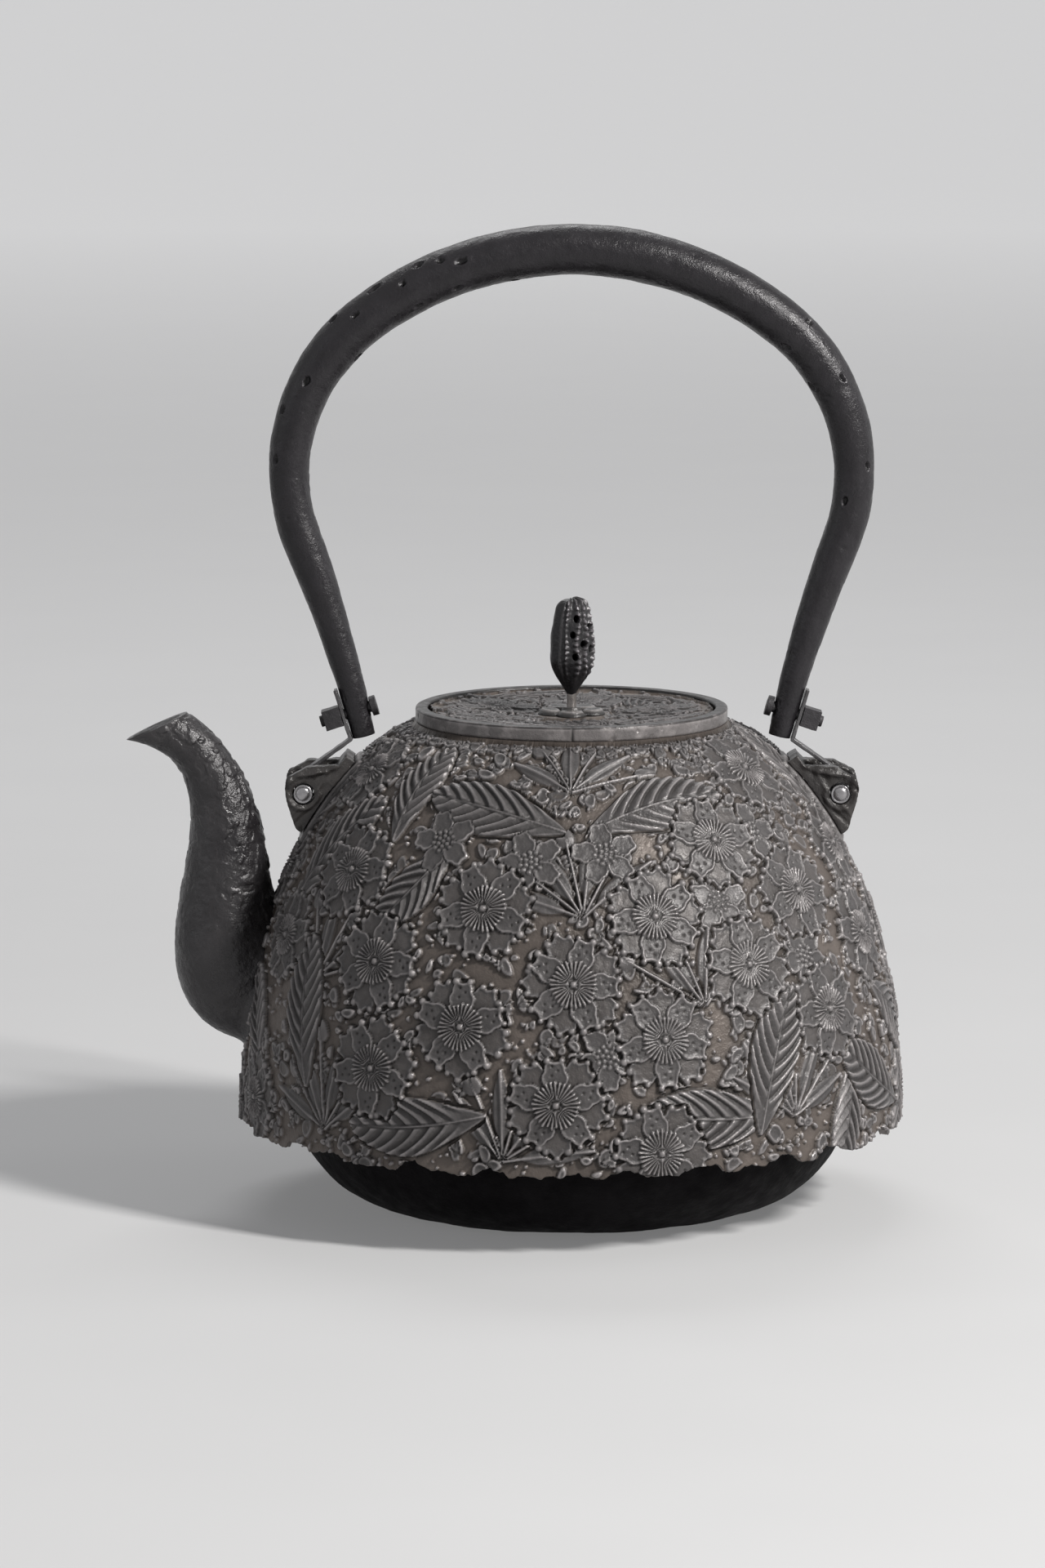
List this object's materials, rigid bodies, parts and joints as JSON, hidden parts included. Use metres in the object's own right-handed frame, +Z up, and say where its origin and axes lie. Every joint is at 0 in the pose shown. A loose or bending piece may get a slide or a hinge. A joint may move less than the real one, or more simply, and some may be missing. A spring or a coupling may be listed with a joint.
{
  "type": "cast iron teapot",
  "caption": "Japanese cast iron kettle with a torn skirt, all-over cherry blossom relief, a dished lid with a bud knob, an S-curved spout and an arched hollow bail on cross pins",
  "frame": {"origin": "centre of the flat foot under the kettle, on the body's axis, on the surface it stands on", "axes": "+Z up; the spout points along -X; the bail arches over the lid in the XZ plane; +Y points away from a viewer who has the spout on the left"},
  "size_m": [0.2152, 0.1846, 0.2707],
  "materials": {
    "body_iron": "cast relief, tan-brown ground with rubbed grey high parts, matte",
    "bottom_iron": "smooth sooty black",
    "spout_iron": "rough cast skin, dark grey",
    "collar_iron": "smooth turned band, satin grey",
    "lug_iron": "cast mask, matte brown-grey",
    "pin_steel": "polished round pin",
    "bail_iron": "black forged tube with a soft sheen and worm-eaten pits",
    "strap_iron": "dark strap with bright edges",
    "bolt_iron": "dark bolt and square nut",
    "lid_iron": "cast relief like the body, matte",
    "seat_iron": "dark plum-blossom washer",
    "knob_metal": "black pierced bud with a soft gloss",
    "pin_brass": "pale brass pin"
  },
  "bodies": {
    "kettle": {"body_shell": "body_iron", "bottom_bowl": "bottom_iron", "spout": "spout_iron", "mouth_collar": "collar_iron", "lug_left": "lug_iron", "lug_right": "lug_iron", "cross_pin_left": "pin_steel", "cross_pin_right": "pin_steel"},
    "bail": {"bail_tube": "bail_iron", "strap_left": "strap_iron", "strap_right": "strap_iron", "strap_bolt_left": "bolt_iron", "strap_bolt_right": "bolt_iron", "strap_nut_left": "bolt_iron", "strap_nut_right": "bolt_iron"},
    "lid": {"lid_disc": "lid_iron", "knob_seat": "seat_iron", "knob": "knob_metal", "knob_pin": "pin_brass", "knob_washer": "seat_iron"}
  },
  "joints": [
    {"name": "bail_rock", "type": "hinge", "parent": "kettle", "child": "bail", "pos_m": [0, 0, 0.11447], "axis": [1, 0, 0], "range_deg": [-12, 12]},
    {"name": "lid_lift", "type": "slide", "parent": "kettle", "child": "lid", "axis": [0, 0, 1], "range_m": [0, 0.06]}
  ]
}
